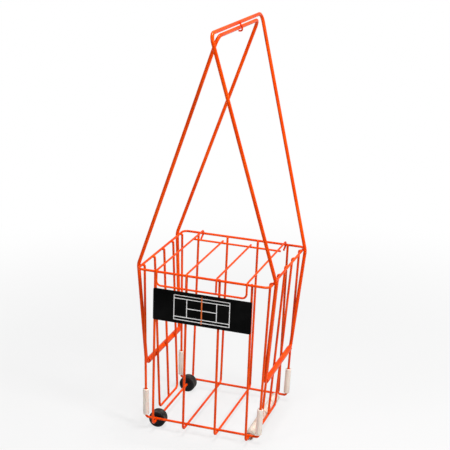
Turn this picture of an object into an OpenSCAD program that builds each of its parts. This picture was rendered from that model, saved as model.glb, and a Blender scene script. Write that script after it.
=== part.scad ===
// Tennis ball hopper: a welded wire basket that picks balls up through its floor.
// Two tall wire bows are its handles when they stand up and its legs when they fold down.
// Millimetres. X runs left to right, the front faces -Y, Z is up and the floor is z = 0.
// The wheels on the left are larger than the roller on the right, so the hopper leans a little.

/* [Basket] */
// Width of the top rim between wire centres
rim_w = 264; // [200:1:320]
// Depth of the top rim between wire centres
rim_d = 262; // [200:1:320]
// Height of the top rim above the floor bars
rim_z = 328; // [250:1:400]
// Corner radius of the top rim
rim_r = 11; // [8:1:20]
// Diameter of the basket wire
wire_d = 4.8; // [4:0.1:6]
// Bend radius of the upright wires' top ends, which turn out to the rim
end_bend = 2.6; // [2.6:0.1:4]
// Half distance between the inner floor bars
bar_inner = 33; // [31:0.5:36]
// Half distance between the outer floor bars
bar_outer = 97; // [92:0.5:102]
// How far the floor bars' corners stand inside the rim, front and back
floor_in = 11; // [9:1:26]
// Bend radius of the floor bars
bar_bend = 9; // [6:0.5:14]
// Half width between the corner posts at the bottom
post_x = 118; // [112:0.5:125]
// How far the corner posts stand inside the rim at the bottom, front and back
post_in = 28; // [25:0.5:36]
// How far the corner posts stand inside the rim at the top, front and back
post_top_in = 25; // [23:0.5:33]
// Half width between the side wires at the bottom
side_x = 108.5; // [106:0.5:114]
// Half depth between the outer side wires
side_y = 52; // [40:1:60]

/* [Pivot tubes and handles] */
// Height of the pivot tubes above the floor bars
tube_z = 120; // [90:1:160]
// How far a pivot tube ends short of the handle's bends
tube_short = 8; // [7.5:0.5:20]
// Outer diameter of a pivot tube
tube_d = 11; // [10:0.5:14]
// Diameter of the handle wire
handle_d = 7; // [6:0.5:8]
// Gap all round between the handle wire and the tube's bore
tube_play = 0.3; // [0.3:0.05:0.4]
// How far a handle's legs stand inside the rim's front and back at the tube
leg_tube_in = 36; // [34:0.5:39]
// How far a handle's legs stand inside the rim's front and back at the rim
leg_rim_in = 23; // [19:0.5:31]
// How far a leg stands clear of the rim at its bend
leg_clear = 0.8; // [0.6:0.1:3]
// Half length of the right handle's grip
grip_right_y = 158; // [140:1:165]
// Half length of the left handle's grip
grip_left_y = 126; // [115:1:135]
// Distance of the right grip's centre to the right of the middle
grip_right_x = 8; // [2:0.5:9]
// Height of the right grip above the floor bars
grip_right_z = 793.5; // [650:0.5:900]
// How far the left grip's centre lies below the right grip's
grip_drop = 8.5; // [8.5:0.1:12]
// Distance of the left grip's centre to the right of the right grip's
grip_shift = 3.4; // [2:0.1:4]
// Bend radius at the corners of the grips
grip_bend = 16; // [12:1:25]
// Bend radius where a leg bends in above the rim
leg_bend = 30; // [15:1:50]
// Wire diameter of the catch that holds the two grips together
catch_d = 3.2; // [2.5:0.1:4]

/* [Lid] */
// Diameter of the lid's wire
lid_d = 4; // [3.5:0.1:5]
// Half distance between the outer lid wires
lid_x = 90; // [80:0.5:91]
// Half distance between the inner lid wires
lid_inner = 30; // [20:0.5:30.5]
// Gap between the lid's wire and the rim it hooks round
lid_play = 0.3; // [0.3:0.05:0.5]
// How far the lid's front lip hangs below the lid's own wires
lip_drop = 30; // [20:1:36]
// How far the lip hangs in front of the rim's centre
lip_out = 6; // [5.5:0.5:8]
// Distance from the rear rim to the lid's rear cross bar
lid_bar_back = 48; // [30:1:60]
// Turn of the hooks round the rear rim, in degrees
hook_turn = 152; // [120:1:165]
// Length of the straight tail of a hook
hook_tail = 12; // [6:0.5:16]

/* [Corner sleeves, wheels and roller] */
// Diameter of the plastic sleeves on the corner posts
sleeve_d = 12; // [9:0.5:13]
// Length of a plastic sleeve
sleeve_len = 55; // [30:1:70]
// Diameter of the two wheels
wheel_d = 34; // [28:1:38]
// Width of a wheel
wheel_w = 20; // [12:1:26]
// Diameter of the roller
roller_d = 18; // [16:0.5:20]
// How far the roller ends short of the cross wires under the floor
roller_short = 3.1; // [3:0.1:30]
// How far the roller sits behind the middle of the floor
roller_back = 0; // [0:0.5:2]
// Running gap all round between a wheel or the roller and its floor bar
spin_play = 0.05; // [0.02:0.01:0.1]

/* [Sign plate] */
// Width of the sign plate
sign_w = 198; // [196:1:205]
// Height of the sign plate
sign_h = 65; // [50:1:80]
// Thickness of the sign plate
sign_t = 2; // [1.5:0.1:4]
// How far the plate's middle lies below the rim
sign_drop = 67; // [67:1:130]

/* [Hidden] */
$fn = 48;
r = wire_d / 2;
touch = 0.02; // distance between two wires that are welded where they cross
seam = 0.1; // how short of its bend a straight piece of wire stops
cross_z = wire_d + touch; // the cross wires lie on top of the floor bars
end_flat = 0.3; // straight end of an upright past its top bend
end_x = rim_w / 2 - r - touch; // an upright's end face stands against the inside of the rim
end_y = rim_d / 2 - r - touch;
wall_x = end_x - end_flat - end_bend; // the uprights themselves stand inside the rim
wall_y = end_y - end_flat - end_bend;
sign_z = rim_z - sign_drop;
floor_y = rim_d / 2 - floor_in; // half depths, counted from the middle of the basket
post_y = rim_d / 2 - post_in;
post_top_y = rim_d / 2 - post_top_in;
leg_tube_y = rim_d / 2 - leg_tube_in;
leg_rim_y = rim_d / 2 - leg_rim_in;
tube_len = 2 * (leg_tube_y - tube_short);
roller_len = 2 * (post_y - r - roller_short);
post_bend = 5;
side_bend = 9;
side_z = cross_z;

// Where a straight upright that leans from (low, z0) to (high, z1) is at height z
function at_z(low, z0, high, z1, z) = low + (high - low) * (z - z0) / (z1 - z0);

side_slope = (wall_x - side_x) / (rim_z - side_z);
tube_x = at_z(side_x, side_z, wall_x, rim_z, tube_z)
       + (r + tube_d / 2 + touch) * sqrt(1 + side_slope * side_slope);
tube_bore = handle_d + 2 * tube_play;
leg_x = rim_w / 2 + r + handle_d / 2 + leg_clear;
leg_z = rim_z + 1;
leg_in = leg_tube_y - 35; // the handle wire reaches this near to the middle inside the tube

grip_left_x = grip_right_x + grip_shift;
grip_left_z = grip_right_z - grip_drop;

hook_r = r + lid_play + lid_d / 2;
lid_z = rim_z + hook_r;
lid_front = -rim_d / 2 - lip_out;
lid_rear = rim_d / 2;
lip_z = lid_z - lip_drop;
lid_bar_y = rim_d / 2 - lid_bar_back;
lid_bar_z = lid_z - lid_d - touch;

front_slope = (wall_y - floor_y) / rim_z;
front_tilt = atan(front_slope);

// The floor touches a wheel on the left and the roller on the right
lean = asin((wheel_d - roller_d) / 2 / (2 * bar_outer));
stand_z = (wheel_d + roller_d) / 4;
stand_x = -leg_z * sin(lean);

steel = [0.93, 0.30, 0.10];
ivory = [0.88, 0.80, 0.74];
black = [0.06, 0.06, 0.06];

function unit(v) = v / norm(v);
function turn(u, w) = acos(max(-1, min(1, u * w)));

// Sets the level hopper down on its wheels and roller
module stand() {
  translate([stand_x, 0, stand_z]) rotate([0, lean, 0]) children();
}

// Turns what is drawn along Z so that it lies along v and starts at p
module along(p, v) {
  translate(p) rotate([0, acos(v[2] / norm(v)), atan2(v[1], v[0])]) children();
}

// A straight piece of round wire from a to b
module straight(a, b, d) {
  along(a, b - a) cylinder(d = d, h = norm(b - a));
}

// A short ring hardly wider than the wire
module collar(d) {
  cylinder(d = d + seam, h = 4 * seam, center = true);
}

// A bend of radius bend at the corner p between the directions u and w
module corner(p, u, w, bend, d) {
  a = turn(u, w);
  c = p + unit(w - u) * bend / cos(a / 2);
  e1 = unit(p - u * bend * tan(a / 2) - c);
  e3 = unit(cross(u, w));
  e2 = cross(e3, e1);
  multmatrix([[e1[0], e2[0], e3[0], c[0]],
              [e1[1], e2[1], e3[1], c[1]],
              [e1[2], e2[2], e3[2], c[2]],
              [0, 0, 0, 1]])
    rotate_extrude(angle = a) translate([bend, 0]) circle(d = d);
}

// A wire that runs through the points p, with bends[i] the bend radius at point i.
// Each straight piece stops just short of its bend, and a short ring hardly wider than the
// wire joins the two, so that every wire is one sound solid at any angle.
module wire(p, bends, d) {
  n = len(p);
  dir = [for (i = [0 : n - 2]) unit(p[i + 1] - p[i])];
  function inside(i) = i > 0 && i < n - 1;
  function cut(i) = inside(i) ? bends[i] * tan(turn(dir[i - 1], dir[i]) / 2) : 0;
  function short(i) = cut(i) + (inside(i) ? seam : 0);
  union() {
    for (i = [0 : n - 2])
      straight(p[i] + dir[i] * short(i), p[i + 1] - dir[i] * short(i + 1), d);
    for (i = [1 : n - 2]) {
      corner(p[i], dir[i - 1], dir[i], bends[i], d);
      along(p[i] - dir[i - 1] * cut(i), dir[i - 1]) collar(d);
      along(p[i] + dir[i] * cut(i), dir[i]) collar(d);
    }
  }
}

// The rim is one wire bent round to a butt weld in the middle of the rear side
module top_rim() {
  x = rim_w / 2;
  y = rim_d / 2;
  weld = 0.6;
  color(steel) stand() union() {
    wire([[-seam, y, rim_z], [-x, y, rim_z], [-x, -y, rim_z], [x, -y, rim_z],
          [x, y, rim_z], [seam, y, rim_z]],
         [0, rim_r, rim_r, rim_r, rim_r, 0], wire_d);
    along([0, y, rim_z], [1, 0, 0]) sphere(d = wire_d + weld);
  }
}

// Two corner posts and the cross wire under the basket, in one piece of wire. Like every upright
// its ends are bent out at the top and butt-welded to the inside of the rim.
module post_frame(s) {
  color(steel) stand()
    wire([[-end_x, s * post_top_y, rim_z], [-wall_x, s * post_top_y, rim_z],
          [-post_x, s * post_y, cross_z], [post_x, s * post_y, cross_z],
          [wall_x, s * post_top_y, rim_z], [end_x, s * post_top_y, rim_z]],
         [0, end_bend, post_bend, post_bend, end_bend, 0], wire_d);
}

module front_post_frame() { post_frame(-1); }

module back_post_frame() { post_frame(1); }

// A floor bar runs down the front, under the balls and up the back.
// The balls are pushed in between two of them.
module floor_bar(x) {
  color(steel) stand()
    wire([[x, -end_y, rim_z], [x, -wall_y, rim_z], [x, -floor_y, 0], [x, floor_y, 0],
          [x, wall_y, rim_z], [x, end_y, rim_z]],
         [0, end_bend, bar_bend, bar_bend, end_bend, 0], wire_d);
}

module floor_bar_1() { floor_bar(-bar_outer); }

module floor_bar_2() { floor_bar(-bar_inner); }

module floor_bar_3() { floor_bar(bar_inner); }

module floor_bar_4() { floor_bar(bar_outer); }

// Two side wires and the rail that joins them at the bottom, in one piece of wire
module side_loop(s) {
  color(steel) stand()
    wire([[s * end_x, -side_y, rim_z], [s * wall_x, -side_y, rim_z],
          [s * side_x, -side_y, side_z], [s * side_x, side_y, side_z],
          [s * wall_x, side_y, rim_z], [s * end_x, side_y, rim_z]],
         [0, end_bend, side_bend, side_bend, end_bend, 0], wire_d);
}

module left_side_loop() { side_loop(-1); }

module right_side_loop() { side_loop(1); }

// The middle side wire ends on the rail
module side_wire(s) {
  low = side_z + wire_d + touch;
  color(steel) stand()
    wire([[s * at_z(side_x, side_z, wall_x, rim_z, low), 0, low],
          [s * wall_x, 0, rim_z], [s * end_x, 0, rim_z]],
         [0, end_bend, 0], wire_d);
}

module left_side_wire() { side_wire(-1); }

module right_side_wire() { side_wire(1); }

// A short tube on the outside of the side wires, which the ends of a handle turn in
module pivot_tube(s) {
  color(steel) stand() translate([s * tube_x, 0, tube_z]) rotate([90, 0, 0])
    difference() {
      cylinder(d = tube_d, h = tube_len, center = true);
      cylinder(d = tube_bore, h = tube_len + 2, center = true);
    }
}

module left_pivot_tube() { pivot_tube(-1); }

module right_pivot_tube() { pivot_tube(1); }

// A plastic sleeve pushed on the lower end of a corner post, where a folded leg lies
module sleeve(sx, sy) {
  low = [sx * post_x, sy * post_y, cross_z];
  high = [sx * wall_x, sy * post_top_y, rim_z];
  v = unit(high - low);
  edge = 0.8;
  color(ivory) stand()
    along(low + v * (post_bend + 1), v)
    difference() {
      union() {
        cylinder(d1 = sleeve_d - 2 * edge, d2 = sleeve_d, h = edge);
        translate([0, 0, edge]) cylinder(d = sleeve_d, h = sleeve_len - 2 * edge);
        translate([0, 0, sleeve_len - edge])
          cylinder(d1 = sleeve_d, d2 = sleeve_d - 2 * edge, h = edge);
      }
      translate([0, 0, -1]) cylinder(d = wire_d + 2 * touch, h = sleeve_len + 2);
      translate([0, 0, sleeve_len - 1.5]) cylinder(d = wire_d + 3, h = 3);
    }
}

module sleeve_front_left() { sleeve(-1, -1); }

module sleeve_front_right() { sleeve(1, -1); }

module sleeve_back_left() { sleeve(-1, 1); }

module sleeve_back_right() { sleeve(1, 1); }

// A thin plate across the four front wires, with rounded corners
module sign_plate() {
  c = 3;
  color(black) stand()
    translate([0, -at_z(floor_y, 0, wall_y, rim_z, sign_z), sign_z])
    rotate([front_tilt, 0, 0])
    translate([0, -r - touch, 0]) rotate([90, 0, 0])
    linear_extrude(sign_t) union() {
      square([sign_w - 2 * c, sign_h], center = true);
      square([sign_w, sign_h - 2 * c], center = true);
      for (x = [-1, 1], y = [-1, 1])
        translate([x * (sign_w / 2 - c), y * (sign_h / 2 - c)]) circle(r = c);
    }
}

// The outer lid wires and the front lip are one wire. Both its ends are hooked round the
// rear rim, and these two hooks are the lid's hinge.
module lid_loop() {
  t = hook_r * tan(hook_turn / 2);
  tail = [0, cos(hook_turn), -sin(hook_turn)] * (t + hook_tail);
  function end(x) = [x, lid_rear + t, lid_z];
  color(steel) stand()
    wire([end(-lid_x) + tail, end(-lid_x), [-lid_x, lid_front, lid_z],
          [-lid_x, lid_front, lip_z], [lid_x, lid_front, lip_z],
          [lid_x, lid_front, lid_z], end(lid_x), end(lid_x) + tail],
         [0, hook_r, 6, 9, 9, 6, hook_r, 0], lid_d);
}

// An inner lid wire, which ends on the lip in front and on the cross bar behind
module lid_wire(x) {
  color(steel) stand()
    wire([[x, lid_bar_y + lid_d / 2, lid_z], [x, lid_front, lid_z],
          [x, lid_front, lip_z + lid_d + touch]],
         [0, 6, 0], lid_d);
}

module lid_wire_left() { lid_wire(-lid_inner); }

module lid_wire_right() { lid_wire(lid_inner); }

module lid_cross_bar() {
  color(steel) stand()
    straight([-lid_x - 4, lid_bar_y, lid_bar_z], [lid_x + 4, lid_bar_y, lid_bar_z], lid_d);
}

// A bow of thick wire. Its ends turn in the tube, and it leans on the rim when it stands up.
module handle(s, x, y, z) {
  color(steel) stand()
    wire([[s * tube_x, -leg_in, tube_z], [s * tube_x, -leg_tube_y, tube_z],
          [s * leg_x, -leg_rim_y, leg_z], [x, -y, z], [x, y, z],
          [s * leg_x, leg_rim_y, leg_z], [s * tube_x, leg_tube_y, tube_z],
          [s * tube_x, leg_in, tube_z]],
         [0, handle_d + 0.5, leg_bend, grip_bend, grip_bend, leg_bend, handle_d + 0.5, 0],
         handle_d);
}

module right_handle() { handle(1, grip_right_x, grip_right_y, grip_right_z); }

module left_handle() { handle(-1, grip_left_x, grip_left_y, grip_left_z); }

// A small hook on the side of the right grip, which reaches round the left grip from the right
module grip_catch() {
  apart = (handle_d + catch_d) / 2;
  near = grip_right_x + apart + touch;
  out = grip_left_x + apart + 1.1;
  down = grip_left_z - apart - 1;
  color(steel) stand()
    wire([[near, 0, grip_right_z + 2.5], [near, 0, grip_right_z - 1.3], [out, 0, grip_left_z + 2.2],
          [out, 0, down], [grip_left_x - 1, 0, down]],
         [0, 2.5, 2.5, 3.5, 0], catch_d);
}

// A moulded wheel with a rounded tread and a hub boss, running on the left floor bar
module wheel(s) {
  c = 2.5; // radius of the tread's edges
  w = wheel_w;
  ra = wheel_d / 2;
  rb = r + spin_play;
  dish = 2;
  color(black) stand()
    translate([-bar_outer, s * (post_y - r - 1.2 - w / 2), 0]) rotate([90, 0, 0])
    rotate_extrude() difference() {
      union() {
        translate([rb, -w / 2]) square([ra - c - rb, w]);
        translate([rb, -w / 2 + c]) square([ra - rb, w - 2 * c]);
        for (e = [-1, 1]) translate([ra - c, e * (w / 2 - c)]) circle(r = c);
      }
      for (e = [-1, 1]) translate([rb + 3.5, e * w / 2 - dish]) square([ra - rb - 8, 2 * dish]);
    }
}

module front_wheel() { wheel(-1); }

module back_wheel() { wheel(1); }

// A plastic tube that turns on the right floor bar
module roller() {
  rb = r + spin_play;
  c = 1;
  color(ivory) stand()
    translate([bar_outer, roller_back, 0]) rotate([90, 0, 0])
    difference() {
      union() {
        cylinder(d = roller_d, h = roller_len - 2 * c, center = true);
        for (e = [0, 1]) mirror([0, 0, e]) translate([0, 0, roller_len / 2 - c])
          cylinder(d1 = roller_d, d2 = roller_d - 2 * c, h = c);
      }
      cylinder(r = rb, h = roller_len + 2, center = true);
      for (e = [0, 1]) mirror([0, 0, e]) translate([0, 0, roller_len / 2 - 4])
        cylinder(r = roller_d / 2 - 2, h = 6);
    }
}

top_rim();
front_post_frame();
back_post_frame();
floor_bar_1();
floor_bar_2();
floor_bar_3();
floor_bar_4();
left_side_loop();
right_side_loop();
left_side_wire();
right_side_wire();
left_pivot_tube();
right_pivot_tube();
sleeve_front_left();
sleeve_front_right();
sleeve_back_left();
sleeve_back_right();
sign_plate();
lid_loop();
lid_wire_left();
lid_wire_right();
lid_cross_bar();
right_handle();
grip_catch();
left_handle();
front_wheel();
back_wheel();
roller();
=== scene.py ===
# A tennis ball hopper: a welded wire basket in orange powder coat, with a wire lid, two tall
# wire handles, plastic sleeves on its corner posts, two wheels and a roller.
import math
import bpy
from mathutils import Matrix, Vector, noise


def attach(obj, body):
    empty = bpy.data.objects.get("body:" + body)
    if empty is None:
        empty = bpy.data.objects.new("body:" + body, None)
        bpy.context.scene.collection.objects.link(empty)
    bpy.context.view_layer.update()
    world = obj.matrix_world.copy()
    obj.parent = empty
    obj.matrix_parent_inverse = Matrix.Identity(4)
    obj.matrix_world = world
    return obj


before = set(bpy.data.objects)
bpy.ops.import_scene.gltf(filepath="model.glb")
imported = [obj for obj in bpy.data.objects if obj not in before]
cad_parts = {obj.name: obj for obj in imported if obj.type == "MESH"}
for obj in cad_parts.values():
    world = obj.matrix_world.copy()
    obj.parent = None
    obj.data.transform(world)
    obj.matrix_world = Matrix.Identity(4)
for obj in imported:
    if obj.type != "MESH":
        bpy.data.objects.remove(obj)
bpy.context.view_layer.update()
bpy.ops.object.select_all(action="DESELECT")


# Camera
# It stands 2.4 m off, to the right of the front and above, with a long lens, and looks down on
# the basket at 17 degrees. The picture is square.
look_down, look_left = 16.80, 18.075
camera = bpy.data.objects.new("camera", bpy.data.cameras.new("camera"))
bpy.context.scene.collection.objects.link(camera)
camera.location = (0.7110, -2.1718, 1.0982)
camera.rotation_euler = (math.radians(90 - look_down), 0, math.radians(look_left))
camera.data.sensor_width = 36
camera.data.lens = 96.98
camera.data.clip_start = 0.1
camera.data.clip_end = 100
bpy.context.scene.camera = camera
bpy.context.scene.view_settings.view_transform = "Standard"


# Studio floor and light
# A plain white sheet that runs out to a white horizon. The main lights are soft ones overhead and
# on the right, and a weak one on the left fills in. Glossy wires mirror white sheet and a pale
# wall behind the hopper, and a dark room in front of it.
class Socket:
    """An output in a tree of shader nodes, so that the sums of a finish read as plain sums."""

    def __init__(self, tree, socket=None):
        self.tree = tree
        self.socket = socket

    def node(self, kind, settings=None, sockets=None, out=0):
        """Adds a node: its settings first, then the values or links of its sockets."""
        made = self.tree.nodes.new(kind)
        for name, value in (settings or {}).items():
            setattr(made, name, value)
        for name, value in (sockets or {}).items():
            if isinstance(value, Socket):
                self.tree.links.new(value.socket, made.inputs[name])
            else:
                made.inputs[name].default_value = value
        return Socket(self.tree, made.outputs[out])

    def maths(self, operation, *values):
        return self.node("ShaderNodeMath", {"operation": operation}, dict(enumerate(values)))

    def __add__(self, other):
        return self.maths("ADD", self, other)

    def __sub__(self, other):
        return self.maths("SUBTRACT", self, other)

    def __rsub__(self, other):
        return self.maths("SUBTRACT", other, self)

    def __mul__(self, other):
        return self.maths("MULTIPLY", self, other)

    __radd__ = __add__
    __rmul__ = __mul__

    def axis(self, number):
        """The x, y or z of this place, as number 0, 1 or 2."""
        return self.node("ShaderNodeSeparateXYZ", None, {"Vector": self}, out=number)

    def length(self):
        return self.node("ShaderNodeVectorMath", {"operation": "LENGTH"}, {0: self}, out=1)

    def rises(self, low, high):
        """0 below low, 1 above high and a smooth step between them."""
        return self.node("ShaderNodeMapRange", {"interpolation_type": "SMOOTHSTEP"},
                         {"Value": self, "From Min": low, "From Max": high})

    def tint(self, under, over):
        """The colour under where this is 0, and over where it is 1."""
        def colour(c):
            return c if isinstance(c, Socket) else (*c, 1)
        return self.node("ShaderNodeMix", {"data_type": "RGBA"},
                         {0: self, 6: colour(under), 7: colour(over)}, out=2)

    def cloudy(self, scale, detail, roughness):
        """An uneven pattern from 0 to 1 over this place, with scale patches to the metre."""
        return self.node("ShaderNodeTexNoise", None, {
            "Vector": self, "Scale": scale, "Detail": detail, "Roughness": roughness})

    def bump(self, strength, depth):
        """The relief that this height gives, with its depth in metres."""
        return self.node("ShaderNodeBump", None, {
            "Strength": strength, "Distance": depth, "Height": self})

    def into(self, shader, socket):
        self.tree.links.new(self.socket, shader.inputs[socket])


def finish_for(name, colour, roughness):
    """A new material, its shader, and the place on the surface that its patterns follow."""
    made = bpy.data.materials.new(name)
    made.use_nodes = True
    shader = made.node_tree.nodes["Principled BSDF"]
    shader.inputs["Base Color"].default_value = (*colour, 1)
    shader.inputs["Roughness"].default_value = roughness
    place = Socket(made.node_tree).node("ShaderNodeTexCoord", out=3)
    return made, shader, place


def ray_kinds(tree):
    """A 1 for what the camera sees itself, and a 1 for what gloss mirrors."""
    path = tree.nodes.new("ShaderNodeLightPath")
    return Socket(tree, path.outputs["Is Camera Ray"]), Socket(tree, path.outputs["Is Glossy Ray"])


black = (0, 0, 0)
white = (1, 1, 1)

sheet_white, sheet_shader, place = finish_for("floor_sheet", (0.55, 0.55, 0.55), 0.8)
in_sight, mirrored = ray_kinds(place.tree)
far = place.length().rises(0.4, 1.5)
behind = place.axis(1).rises(-0.9, -0.2)
glow = place.node("ShaderNodeEmission", None,
                  {"Color": (in_sight + 0.65 * mirrored * behind).tint(black, white)})
bare_sheet = Socket(place.tree, sheet_shader.outputs[0])
sheet = place.node("ShaderNodeMixShader", None, {
    0: mirrored + in_sight * (0.72 + 0.28 * far), 1: bare_sheet, 2: glow})
sheet.into(sheet_white.node_tree.nodes["Material Output"], "Surface")

bpy.ops.mesh.primitive_plane_add(size=40)
floor_sheet = bpy.context.object
floor_sheet.name = "floor_sheet"
floor_sheet.data.materials.append(sheet_white)

studio = bpy.data.worlds.new("studio")
bpy.context.scene.world = studio
studio.use_nodes = True
direction = Socket(studio.node_tree).node("ShaderNodeTexCoord")
in_sight = ray_kinds(direction.tree)[0]
room = 0.03 + 0.27 * direction.axis(1).rises(0.1, 0.7)
shown = room.maths("MAXIMUM", room, in_sight).tint(black, white)
shown.into(studio.node_tree.nodes["Background"], "Color")


def soft_light(name, place, width, power):
    """A square soft light that faces the middle of the hopper, in metres and watts."""
    middle = Vector((0, 0, 0.35))
    lamp = bpy.data.objects.new(name, bpy.data.lights.new(name, "AREA"))
    bpy.context.scene.collection.objects.link(lamp)
    lamp.location = place
    lamp.rotation_euler = (middle - Vector(place)).to_track_quat("-Z", "Y").to_euler()
    lamp.data.size = width
    lamp.data.energy = power


soft_light("light_left", (-1.5, -2.0, 1.6), 0.8, 25)
soft_light("light_right", (2.0, -0.9, 1.9), 0.6, 54)
soft_light("light_overhead", (0.3, 0.0, 2.7), 0.7, 60)


# Wire basket, lid and handles
# Bright drawn steel wire, cut, bent and resistance-welded where it crosses, then powder coated as
# a whole in glossy orange. The powder melts to a fine orange peel of uneven thickness, and hands
# and hard courts dull it in a few places, most of all on the handles.
orange, deep_orange = (0.91, 0.080, 0.001), (0.78, 0.050, 0.001)
lid_orange, deep_lid_orange = (0.92, 0.084, 0.001), (0.80, 0.054, 0.001)
dull_orange = (0.74, 0.13, 0.02)


def powder_coat(name, colour, deep, gloss, rubbed):
    """Powder coat with gloss as its roughness, and rubbed from 0 to 1 for its duller marks."""
    made, shader, place = finish_for(name, colour, gloss)
    cloud = place.cloudy(16, 3, 0.55)
    grain = place.cloudy(420, 2, 0.5)
    specks = place.cloudy(900, 1, 0.4)
    shade = cloud.rises(0.35, 0.72).tint(deep, colour)
    mark = cloud.rises(0.56, 0.66) * grain.rises(0.48, 0.62) * rubbed
    (mark * 0.35).tint(shade, dull_orange).into(shader, "Base Color")
    (gloss + 0.10 * (cloud - 0.5) + 0.10 * (grain - 0.5) + 0.22 * mark).into(shader, "Roughness")
    (grain * 0.8 + specks * 0.2).bump(0.35, 0.0002).into(shader, "Normal")
    shader.inputs["Specular IOR Level"].default_value = 0.4
    shader.inputs["Specular Tint"].default_value = (1, 0.42, 0.10, 1)
    shader.inputs["Coat Weight"].default_value = 0.05
    shader.inputs["Coat Roughness"].default_value = 0.16
    return made


def coat_nodes(made, *names):
    for name in names:
        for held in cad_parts[name].material_slots:
            held.material = made


basket_coat = powder_coat("basket_powder_coat", orange, deep_orange, 0.34, 0.6)
lid_coat = powder_coat("lid_powder_coat", lid_orange, deep_lid_orange, 0.32, 0.4)
handle_coat = powder_coat("handle_powder_coat", orange, deep_orange, 0.30, 0.8)
coat_nodes(basket_coat, "top_rim", "front_post_frame", "back_post_frame", "floor_bar_1",
           "floor_bar_2", "floor_bar_3", "floor_bar_4", "left_side_loop", "right_side_loop",
           "left_side_wire", "right_side_wire", "left_pivot_tube", "right_pivot_tube")
coat_nodes(lid_coat, "lid_loop", "lid_wire_left", "lid_wire_right", "lid_cross_bar")
coat_nodes(handle_coat, "right_handle", "grip_catch", "left_handle")


# Welds
# Where two wires cross, the welder's current melts a little steel between them. It sets as a low
# round nugget that fills the corner on either side, and the powder coat covers it. Sizes here are
# in millimetres in the level basket, with x to the right and z up from the floor bars.
wire, weld_gap = 4.8, 0.02
joint = (wire + weld_gap) / 2  # from a wire's middle to the middle of a weld on its side
rim_x, rim_y, rim_z = 132, 131, 328
end_reach = 2.9  # an upright's bend and end, between the upright and the gap at the rim
wall_x = rim_x - wire / 2 - weld_gap - end_reach
wall_y = rim_y - wire / 2 - weld_gap - end_reach
bar_inner, bar_outer = 33, 97
post_y, post_top_y = 103, 106
side_x, side_y, rail_z = 108.5, 52, wire + weld_gap
tube_z = 120
wheel_d, roller_d = 34, 18
lean = math.asin((wheel_d - roller_d) / 2 / (2 * bar_outer))  # the wheels are taller
stand = (Matrix.Translation((-(rim_z + 1) * math.sin(lean) / 1000, 0, (wheel_d + roller_d) / 4000))
         @ Matrix.Rotation(lean, 4, "Y") @ Matrix.Scale(0.001, 4))


def between(low, z0, high, z1, z):
    """Where a straight wire from low at height z0 to high at z1 stands at height z."""
    return low + (high - low) * (z - z0) / (z1 - z0)


def nugget(number, spot, along, wide, tall):
    """One weld at spot, with its flat way across the direction along."""
    bpy.ops.mesh.primitive_ico_sphere_add(subdivisions=3, radius=1)
    made = bpy.context.object
    turn = Vector(along).to_track_quat("Z", "Y").to_matrix().to_4x4()
    size = Matrix.Diagonal((wide, wide, tall, 1))
    own_place = Vector((number * 3.1, 0, 0))  # so that no two nuggets swell alike
    for v in made.data.vertices:
        swell = 1 + 0.16 * noise.noise(v.co * 1.7 + own_place)
        v.co = stand @ Matrix.Translation(spot) @ turn @ size @ (v.co * swell)
    made.data.polygons.foreach_set("use_smooth", [True] * len(made.data.polygons))
    return made


def joined(name, made, material):
    """These objects as one, all in one material."""
    bpy.ops.object.select_all(action="DESELECT")
    for one in made:
        one.select_set(True)
    bpy.context.view_layer.objects.active = made[0]
    if len(made) > 1:
        bpy.ops.object.join()
    piece = bpy.context.object
    piece.name = name
    piece.data.materials.clear()
    piece.data.materials.append(material)
    bpy.ops.object.select_all(action="DESELECT")
    return piece


def weld_piece(name, body, coat, spots):
    """All the welds of one body, joined in one piece."""
    welds = joined(name, [nugget(number, *spot) for number, spot in enumerate(spots)], coat)
    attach(welds, body)


across, back, up = (1, 0, 0), (0, 1, 0), (0, 0, 1)
rim_weld = 2.9, 1.3  # how far a nugget reaches from its middle, and half its height
cross_weld = 2.5, 1.15
side_tube = between(side_x, rail_z, wall_x, rim_z, tube_z)
basket_spots = []
for bar in (-bar_outer, -bar_inner, bar_inner, bar_outer):
    for end in (-1, 1):
        basket_spots.append(((bar, end * (rim_y - wire / 2), rim_z), back, *rim_weld))
        basket_spots.append(((bar, end * post_y, joint), up, *cross_weld))
for side in (-1, 1):
    for y in (-post_top_y, -side_y, 0, side_y, post_top_y):
        basket_spots.append(((side * (rim_x - wire / 2), y, rim_z), across, *rim_weld))
    for y in (-side_y, 0, side_y):
        basket_spots.append(((side * (side_tube + joint), y, tube_z), across, *cross_weld))
    basket_spots.append(((side * (side_x + 0.1), 0, rail_z + wire / 2), up, *cross_weld))
weld_piece("basket_welds", "basket", basket_coat, basket_spots)

lid_wire, lid_x, lid_inner = 4, 90, 30
lid_rise, lid_bar_back, lip_drop, lip_out = 4.7, 48, 30, 6
lid_z = rim_z + lid_rise
lip_z = lid_z - lip_drop
lid_weld = 2.1, 0.95
lid_spots = [((x, rim_y - lid_bar_back, lid_z - lid_wire / 2), up, *lid_weld)
             for x in (-lid_x, -lid_inner, lid_inner, lid_x)]
lid_spots += [((x, -rim_y - lip_out, lip_z + lid_wire / 2), up, *lid_weld)
              for x in (-lid_inner, lid_inner)]
weld_piece("lid_welds", "lid", lid_coat, lid_spots)

handle_wire, grip_x, catch_z = 7, 8, 794
catch_weld = 2.0, 0.8
weld_piece("catch_weld", "right_handle", handle_coat,
           [((grip_x + handle_wire / 2, 0, catch_z), across, *catch_weld)])


# Corner sleeves and roller
# Extruded tube of hard ivory plastic, cut to length. The sleeves are pushed on the corner posts,
# and the roller turns on its floor bar. Both are slightly yellowed and scuffed. The roller's
# plastic is painted darker and yellower than the sleeves', which is painted shade. Dust from the
# court lies on the sleeves' lower ends, and all round the roller.
sleeve_pale, sleeve_warm = (0.87, 0.77, 0.69), (0.84, 0.73, 0.62)
# The roller's colours are the sleeves' plastic painted darker and yellower: painted shade.
roller_painted_shade_pale, roller_painted_shade_warm = (0.78, 0.70, 0.61), (0.74, 0.64, 0.53)
court_dust = (0.42, 0.36, 0.28)


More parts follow.
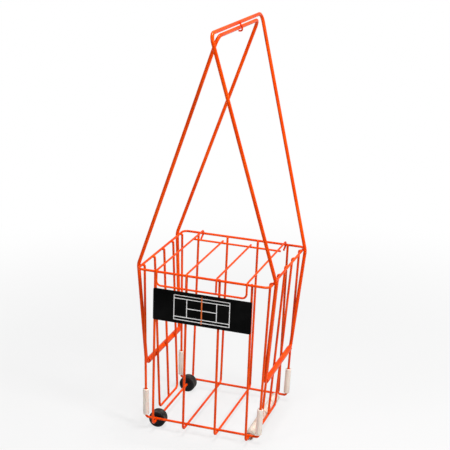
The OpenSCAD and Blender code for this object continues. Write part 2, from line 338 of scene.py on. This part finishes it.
def ivory_plastic(name, pale, warm, drawn_out, dusty_to, clean_from):
    """Plastic drawn out along one axis, dusty below dusty_to and clean above clean_from."""
    made, shader, place = finish_for(name, pale, 0.42)
    stretched = place.node("ShaderNodeMapping", None, {"Vector": place, "Scale": drawn_out})
    drawn = stretched.cloudy(160, 3, 0.6)
    cloud = place.cloudy(34, 3, 0.55)
    dust = (1 - place.axis(2).rises(dusty_to, clean_from)) * cloud.rises(0.35, 0.65)
    body = (0.75 * cloud.rises(0.3, 0.75) + 0.15 * drawn.rises(0.4, 0.7)).tint(pale, warm)
    (0.35 * dust).tint(body, court_dust).into(shader, "Base Color")
    (0.40 + 0.16 * (drawn - 0.5) + 0.25 * dust).into(shader, "Roughness")
    drawn.bump(0.25, 0.0002).into(shader, "Normal")
    shader.inputs["Subsurface Weight"].default_value = 0.08
    shader.inputs["Subsurface Scale"].default_value = 0.002
    return made


sleeve_ivory = ivory_plastic("sleeve_plastic_ivory", sleeve_pale, sleeve_warm, (1, 1, 0.12),
                             0.015, 0.05)
roller_ivory_painted_shade = ivory_plastic("roller_plastic_ivory_painted_shade", roller_painted_shade_pale, roller_painted_shade_warm, (1, 0.12, 1),
                             0.03, 0.04)
coat_nodes(sleeve_ivory, "sleeve_front_left", "sleeve_front_right", "sleeve_back_left",
           "sleeve_back_right")
coat_nodes(roller_ivory_painted_shade, "roller")


# Wheels
# Moulded in black rubbery plastic, with a dished side and a hub round the bar. The tread is matt
# and holds pale court dust, and the faces keep the fine rings of the turned mould.
rubber, rubber_dust = (0.010, 0.010, 0.011), (0.20, 0.19, 0.17)
tread_r = wheel_d / 2000
ring_turn = 5200  # radians to the metre, which puts the rings 1.2 mm apart
rubber_black, rubber_shader, place = finish_for("wheel_rubber_black", rubber, 0.55)
hub = stand @ Vector((-bar_outer, 0, 0))
from_middle = place.node("ShaderNodeVectorMath", {"operation": "SUBTRACT"}, {0: place, 1: hub})
from_axle = place.node("ShaderNodeVectorMath", {"operation": "MULTIPLY"},
                       {0: from_middle, 1: (1, 0, 1)}).length()
grit = place.cloudy(700, 3, 0.6)
smear = place.cloudy(90, 2, 0.5)
dusty = from_axle.rises(tread_r - 0.002, tread_r - 0.0002) * smear.rises(0.35, 0.65)
rings = place.maths("SINE", from_axle * ring_turn)
(0.22 * dusty).tint(rubber, rubber_dust).into(rubber_shader, "Base Color")
(0.50 + 0.20 * (grit - 0.5) + 0.22 * dusty).into(rubber_shader, "Roughness")
(grit + 0.25 * rings).bump(0.3, 0.0003).into(rubber_shader, "Normal")
rubber_shader.inputs["Specular IOR Level"].default_value = 0.22
coat_nodes(rubber_black, "front_wheel", "back_wheel")


# Sign plate
# A flat sheet of black plastic on the four front wires, for a printed sign. Here it shows the
# plain lines of a court, screen-printed in white, with the net as an orange bar.
plate_black, worn_black = (0.002, 0.002, 0.002), (0.06, 0.06, 0.06)
sign_black, sign_shader, place = finish_for("sign_plastic_black", plate_black, 0.36)
haze = place.cloudy(22, 3, 0.6)
wiped = place.node("ShaderNodeMapping", None, {
    "Vector": place, "Rotation": (0, 0.6, 0), "Scale": (1, 1, 14)})
scratch = wiped.cloudy(70, 2, 0.7).rises(0.66, 0.70)
leather = place.cloudy(1400, 2, 0.5)
worn = 0.06 * scratch + 0.04 * haze.rises(0.4, 0.7)
worn.tint(plate_black, worn_black).into(sign_shader, "Base Color")
(0.36 + 0.18 * (haze - 0.5) + 0.15 * scratch).into(sign_shader, "Roughness")
leather.bump(0.2, 0.0001).into(sign_shader, "Normal")
sign_shader.inputs["Specular IOR Level"].default_value = 0.10
coat_nodes(sign_black, "sign_plate")


def screen_ink(name, colour, thin):
    """Ink lies slightly uneven on the plate, and shows the colour thin where there is less."""
    made, shader, place = finish_for(name, colour, 0.5)
    blotch = place.cloudy(260, 3, 0.6)
    (0.5 * blotch.rises(0.45, 0.75)).tint(colour, thin).into(shader, "Base Color")
    (0.46 + 0.2 * (blotch - 0.5)).into(shader, "Roughness")
    blotch.bump(0.2, 0.0001).into(shader, "Normal")
    return made


floor_y = 120
plate_t, ink_t, sign_drop = 2, 0.12, 67
sign_z = rim_z - sign_drop
sign_y = between(floor_y, 0, wall_y, rim_z, sign_z)
tilt = math.atan((wall_y - floor_y) / rim_z)
face = (stand @ Matrix.Translation((0, -sign_y, sign_z)) @ Matrix.Rotation(tilt, 4, "X")
        @ Matrix.Translation((0, -wire / 2 - weld_gap - plate_t, 0))
        @ Matrix.Rotation(math.pi / 2, 4, "X"))


def ink_bar(x, y, wide, high):
    """One bar of ink, still lying flat at the origin."""
    bpy.ops.mesh.primitive_plane_add(size=1, location=(x, y, 0))
    bar = bpy.context.object
    bar.scale = (wide, high, 1)
    bpy.ops.object.transform_apply(location=True, rotation=True, scale=True)
    bpy.ops.object.mode_set(mode="EDIT")
    bpy.ops.mesh.select_all(action="SELECT")
    bpy.ops.mesh.extrude_region_move(TRANSFORM_OT_translate={"value": (0, 0, ink_t)})
    bpy.ops.mesh.select_all(action="SELECT")
    bpy.ops.mesh.normals_make_consistent(inside=False)
    bpy.ops.object.mode_set(mode="OBJECT")
    return bar


def printed(name, ink, bars):
    """Bars of ink on the plate's face, each x, y, width and height in millimetres."""
    bpy.ops.object.select_all(action="DESELECT")
    piece = joined(name, [ink_bar(*bar) for bar in bars], ink)
    piece.data.transform(face)
    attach(piece, "basket")


court_w, court_h, line_w = 112, 50, 1.6
service = court_w * 0.269  # from the net to a service line
single = court_h * 0.375  # from the middle to a side line of the singles court
net_w, net_over = 2.6, 6
white_ink = screen_ink("sign_ink_white", (0.86, 0.86, 0.86), (0.70, 0.70, 0.70))
orange_ink = screen_ink("sign_ink_orange", (0.80, 0.16, 0.02), (0.60, 0.10, 0.02))
printed("court_lines", white_ink, [
    (0, court_h / 2, court_w + line_w, line_w), (0, -court_h / 2, court_w + line_w, line_w),
    (-court_w / 2, 0, line_w, court_h - line_w), (court_w / 2, 0, line_w, court_h - line_w),
    (0, single, court_w - line_w, line_w), (0, -single, court_w - line_w, line_w),
    (-service, 0, line_w, 2 * single - line_w), (service, 0, line_w, 2 * single - line_w),
    (-service / 2, 0, service - line_w, line_w), (service / 2, 0, service - line_w, line_w)])
printed("court_net", orange_ink, [(0, 0, net_w, court_h + net_over)])
